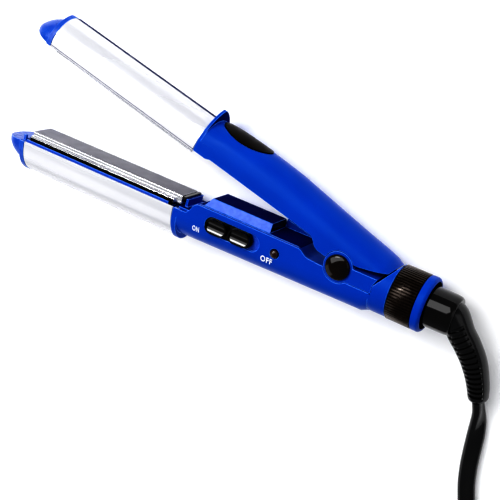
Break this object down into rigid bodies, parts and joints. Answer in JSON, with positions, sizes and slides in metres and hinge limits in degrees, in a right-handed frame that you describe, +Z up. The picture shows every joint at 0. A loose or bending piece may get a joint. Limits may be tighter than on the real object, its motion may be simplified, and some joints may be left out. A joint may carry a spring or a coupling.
{
  "type": "hair crimper",
  "caption": "Two-arm electric hair styler with flat plates inside half-round metal barrels, a hinged pair of handles, a slide switch and a swivel cord.",
  "frame": {"origin": "on the table under the hinge axis, at the middle of the far hinge cap's flat face, with the tool lying on its side", "axes": "+X along the lower arm from its tip towards the cord, +Y the way the upper arm opens, +Z up along the hinge axis"},
  "size_m": [0.3057, 0.3225, 0.0283],
  "materials": {
    "blue_plastic": "glossy moulded royal blue plastic",
    "black_gloss": "glossy moulded black plastic",
    "black_rubber": "satin black PVC and soft rubber",
    "barrel_steel": "satin polished metal, almost white",
    "plate_metal": "grey coated aluminium plate",
    "spring_steel": "plain steel",
    "ceramic": "unglazed ceramic",
    "lens_red": "dark red translucent plastic",
    "lamp_glass": "clear glass neon lamp",
    "board_green": "circuit board laminate",
    "brass": "plain brass",
    "lead_white": "heat-proof wire sleeve"
  },
  "bodies": {
    "cord_set": {"swivel_body": "black_gloss", "cord_boot": "black_rubber", "cord_run": "black_rubber", "cord_coil": "black_rubber", "coil_tie": "black_gloss", "cord_tail": "black_rubber", "plug_body": "black_rubber", "plug_blade_narrow": "brass", "plug_blade_wide": "brass"},
    "lower_arm": {"lower_barrel": "barrel_steel", "lower_plate_carrier": "blue_plastic", "lower_plate": "plate_metal", "lower_heater": "ceramic", "lower_heater_clip": "spring_steel", "lower_tip_cap": "blue_plastic", "plate_stop": "black_gloss", "lower_housing": "blue_plastic", "lower_cover": "blue_plastic", "hinge_pin": "spring_steel", "hinge_cap_near": "black_gloss", "hinge_cap_far": "black_gloss", "opening_spring": "spring_steel", "switch_body": "black_gloss", "indicator_lens": "lens_red", "indicator_lamp": "lamp_glass", "indicator_board": "board_green", "thermal_fuse": "ceramic", "supply_leads": "lead_white", "lower_heater_leads": "lead_white", "lower_front_screw": "spring_steel", "lower_rear_screw": "spring_steel", "rear_ring": "blue_plastic"},
    "upper_arm": {"upper_barrel": "barrel_steel", "upper_plate_carrier": "blue_plastic", "upper_plate": "plate_metal", "upper_heater": "ceramic", "upper_heater_clip": "spring_steel", "upper_tip_cap": "blue_plastic", "upper_housing": "blue_plastic", "upper_cover": "blue_plastic", "upper_front_screw": "spring_steel", "upper_rear_screw": "spring_steel", "upper_heater_leads": "lead_white", "thumb_pad": "black_rubber"},
    "switch_slider": {"switch_slider": "black_gloss"},
    "lock_ring": {"lock_ring": "black_gloss"}
  },
  "joints": [
    {"name": "cord_swivel", "type": "hinge", "parent": "cord_set", "child": "lower_arm", "pos_m": [0.04, -0.0041, 0.0134], "axis": [1, 0, 0], "continuous": true},
    {"name": "jaw_hinge", "type": "hinge", "parent": "lower_arm", "child": "upper_arm", "pos_m": [0, 0, 0.0134], "axis": [0, 0, 1], "range_deg": [0, 13.7], "stiffness_Nm_per_rad": 0.05, "springref_deg": -20.05},
    {"name": "power_switch", "type": "slide", "parent": "lower_arm", "child": "switch_slider", "axis": [1, 0, 0], "range_m": [0, 0.0037]},
    {"name": "lock_ring_turn", "type": "hinge", "parent": "lower_arm", "child": "lock_ring", "pos_m": [0.0325, -0.0041, 0.0134], "axis": [1, 0, 0], "range_deg": [0, 60]}
  ]
}
